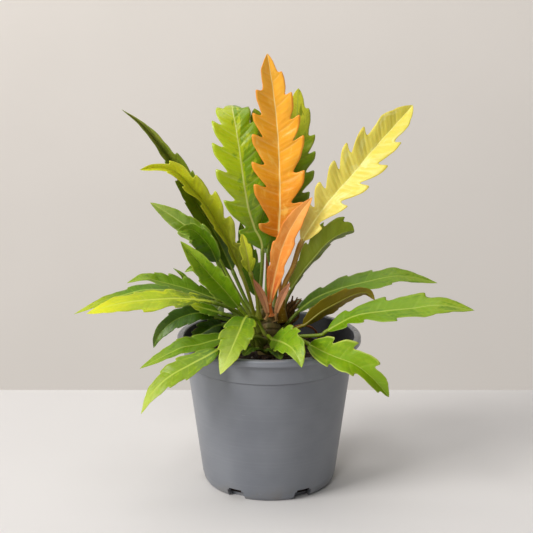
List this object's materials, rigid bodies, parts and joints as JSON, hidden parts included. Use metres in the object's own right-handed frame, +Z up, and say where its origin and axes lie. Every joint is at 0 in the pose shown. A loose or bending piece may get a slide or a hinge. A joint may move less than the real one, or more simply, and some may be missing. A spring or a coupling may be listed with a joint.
{
  "type": "potted philodendron",
  "caption": "Potted philodendron with saw-edged green, lime, yellow and orange leaves rising and arching from a short stem in a round grey nursery pot.",
  "frame": {"origin": "centre of the pot's flat base, on the surface it stands on", "axes": "+Z up along the pot's axis, the plant's fuller side towards -Y, the lemon yellow leaf towards +X"},
  "size_m": [0.4113, 0.2457, 0.4442],
  "materials": {
    "pot_grey": "satin moulded grey plastic",
    "soil": "crumbly dark bark and peat",
    "stem": "brownish green bark with leaf scars",
    "leaf_orange": "satin amber orange leaf",
    "leaf_salmon": "satin salmon young leaf",
    "leaf_yellow": "satin lemon yellow leaf",
    "leaf_lime": "satin lime leaf",
    "leaf_green": "satin mid-green leaf",
    "leaf_dark": "satin dark green leaf",
    "leaf_olive": "dull olive underside",
    "sheath": "thin dull pinkish sheath",
    "dry": "dry brown fibre"
  },
  "bodies": {
    "root": {"pot": "pot_grey", "soil": "soil", "stem": "stem", "leaf_orange_tall": "leaf_orange", "leaf_salmon_young": "leaf_salmon", "leaf_yellow_right": "leaf_yellow", "leaf_lime_left": "leaf_lime", "leaf_dark_upright": "leaf_dark", "leaf_green_upright": "leaf_green", "leaf_dark_folded": "leaf_dark", "leaf_curled_yellow": "leaf_yellow", "leaf_small_curled": "leaf_lime", "leaf_pale_left": "leaf_green", "leaf_folded_left": "leaf_green", "leaf_light_left": "leaf_lime", "leaf_tip_left": "leaf_green", "leaf_hooked_left": "leaf_olive", "leaf_upper_left": "leaf_green", "leaf_yellow_left": "leaf_yellow", "leaf_behind_left": "leaf_green", "leaf_small_yellow": "leaf_lime", "leaf_drooping_left": "leaf_dark", "leaf_inner_dark": "leaf_dark", "leaf_front_left": "leaf_green", "leaf_front_low": "leaf_lime", "leaf_front_arched": "leaf_green", "leaf_front_small": "leaf_green", "leaf_front_large": "leaf_green", "leaf_low_right": "leaf_green", "leaf_high_right": "leaf_green", "leaf_olive_low": "leaf_olive", "leaf_olive_high": "leaf_olive", "leaf_low_middle": "leaf_dark", "leaf_low_front": "leaf_dark", "leaf_behind_stalks": "leaf_green", "leaf_back_high": "leaf_dark", "leaf_back_left": "leaf_green", "leaf_back_right": "leaf_green", "sheath_left": "sheath", "sheath_right": "sheath", "sheath_strip": "sheath", "dry_leaf_foot": "dry", "aerial_root": "dry"}
  },
  "joints": []
}
